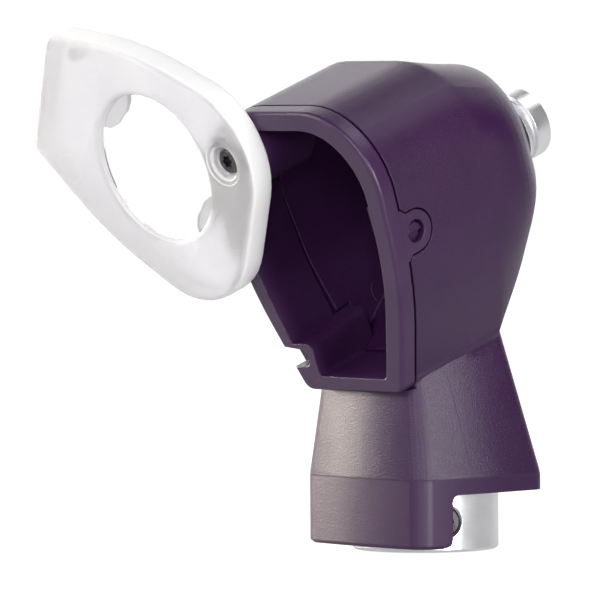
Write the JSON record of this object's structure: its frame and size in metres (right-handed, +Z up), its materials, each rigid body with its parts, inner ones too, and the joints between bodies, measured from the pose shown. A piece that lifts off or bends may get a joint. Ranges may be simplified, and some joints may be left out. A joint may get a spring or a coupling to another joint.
{
  "type": "otoscope head",
  "caption": "Otoscope head with open-backed housing, swing-away magnifying lens carrier, ear tip nozzle with light ring, lamp and base sleeve.",
  "frame": {"origin": "centre of the base sleeve's lower end, where the handle enters", "axes": "+Z up along the handle, +Y forwards towards the ear, +X to the examiner's right; the carrier is swung open"},
  "size_m": [0.0775, 0.0692, 0.0874],
  "materials": {
    "shell_plastic": "fine textured dark purple-black",
    "frame_plastic": "fine textured dark purple-black",
    "collar_plastic": "moulded",
    "ferrule_brass": "turned",
    "bush_brass": "turned",
    "pivot_steel": "blackened",
    "washer_steel": "pressed",
    "carrier_clear": "frosted clear",
    "lens_glass": "polished",
    "holder_aluminium": "turned, satin",
    "nut_brass": "turned",
    "ring_fibre": "polished fibre ends",
    "lamp_nickel": "nickel plated",
    "lamp_ceramic": "ceramic white",
    "lamp_solder": "solder",
    "bulb_glass": "clear",
    "guide_fibre": "bundled fibres",
    "sleeve_aluminium": "turned, satin",
    "grub_steel_right": "black oxide",
    "grub_steel_front": "black oxide",
    "grub_steel_left": "black oxide",
    "disc_phenolic": "phenolic brown",
    "plunger_brass": "turned",
    "spring_steel": "drawn wire"
  },
  "bodies": {
    "head": {"housing_shell": "shell_plastic", "eyepiece_frame": "frame_plastic", "lamp_collar": "collar_plastic", "guide_ferrule": "ferrule_brass", "pivot_bush": "bush_brass", "pivot_screw": "pivot_steel", "spring_washer": "washer_steel", "speculum_holder": "holder_aluminium", "holder_nut": "nut_brass", "light_ring": "ring_fibre", "lamp_body": "lamp_nickel", "lamp_insulator": "lamp_ceramic", "lamp_tip": "lamp_solder", "lamp_bulb": "bulb_glass", "light_guide": "guide_fibre", "base_sleeve": "sleeve_aluminium", "grub_screw_right": "grub_steel_right", "grub_screw_front": "grub_steel_front", "grub_screw_left": "grub_steel_left", "contact_disc": "disc_phenolic", "contact_spring": "spring_steel"},
    "magnifier": {"lens_carrier": "carrier_clear", "magnifier_lens": "lens_glass"},
    "plunger": {"contact_plunger": "plunger_brass"}
  },
  "joints": [
    {"name": "magnifier_swing", "type": "hinge", "parent": "head", "child": "magnifier", "pos_m": [-0.0102, -0.03537, 0.06429], "axis": [0, -0.9348, -0.3551], "range_deg": [-59, 121]},
    {"name": "contact_press", "type": "slide", "parent": "head", "child": "plunger", "axis": [0, 0, 1], "range_m": [0, 0.002], "stiffness_N_per_m": 400, "springref_m": -0.002, "deforming": ["contact_spring"]}
  ]
}
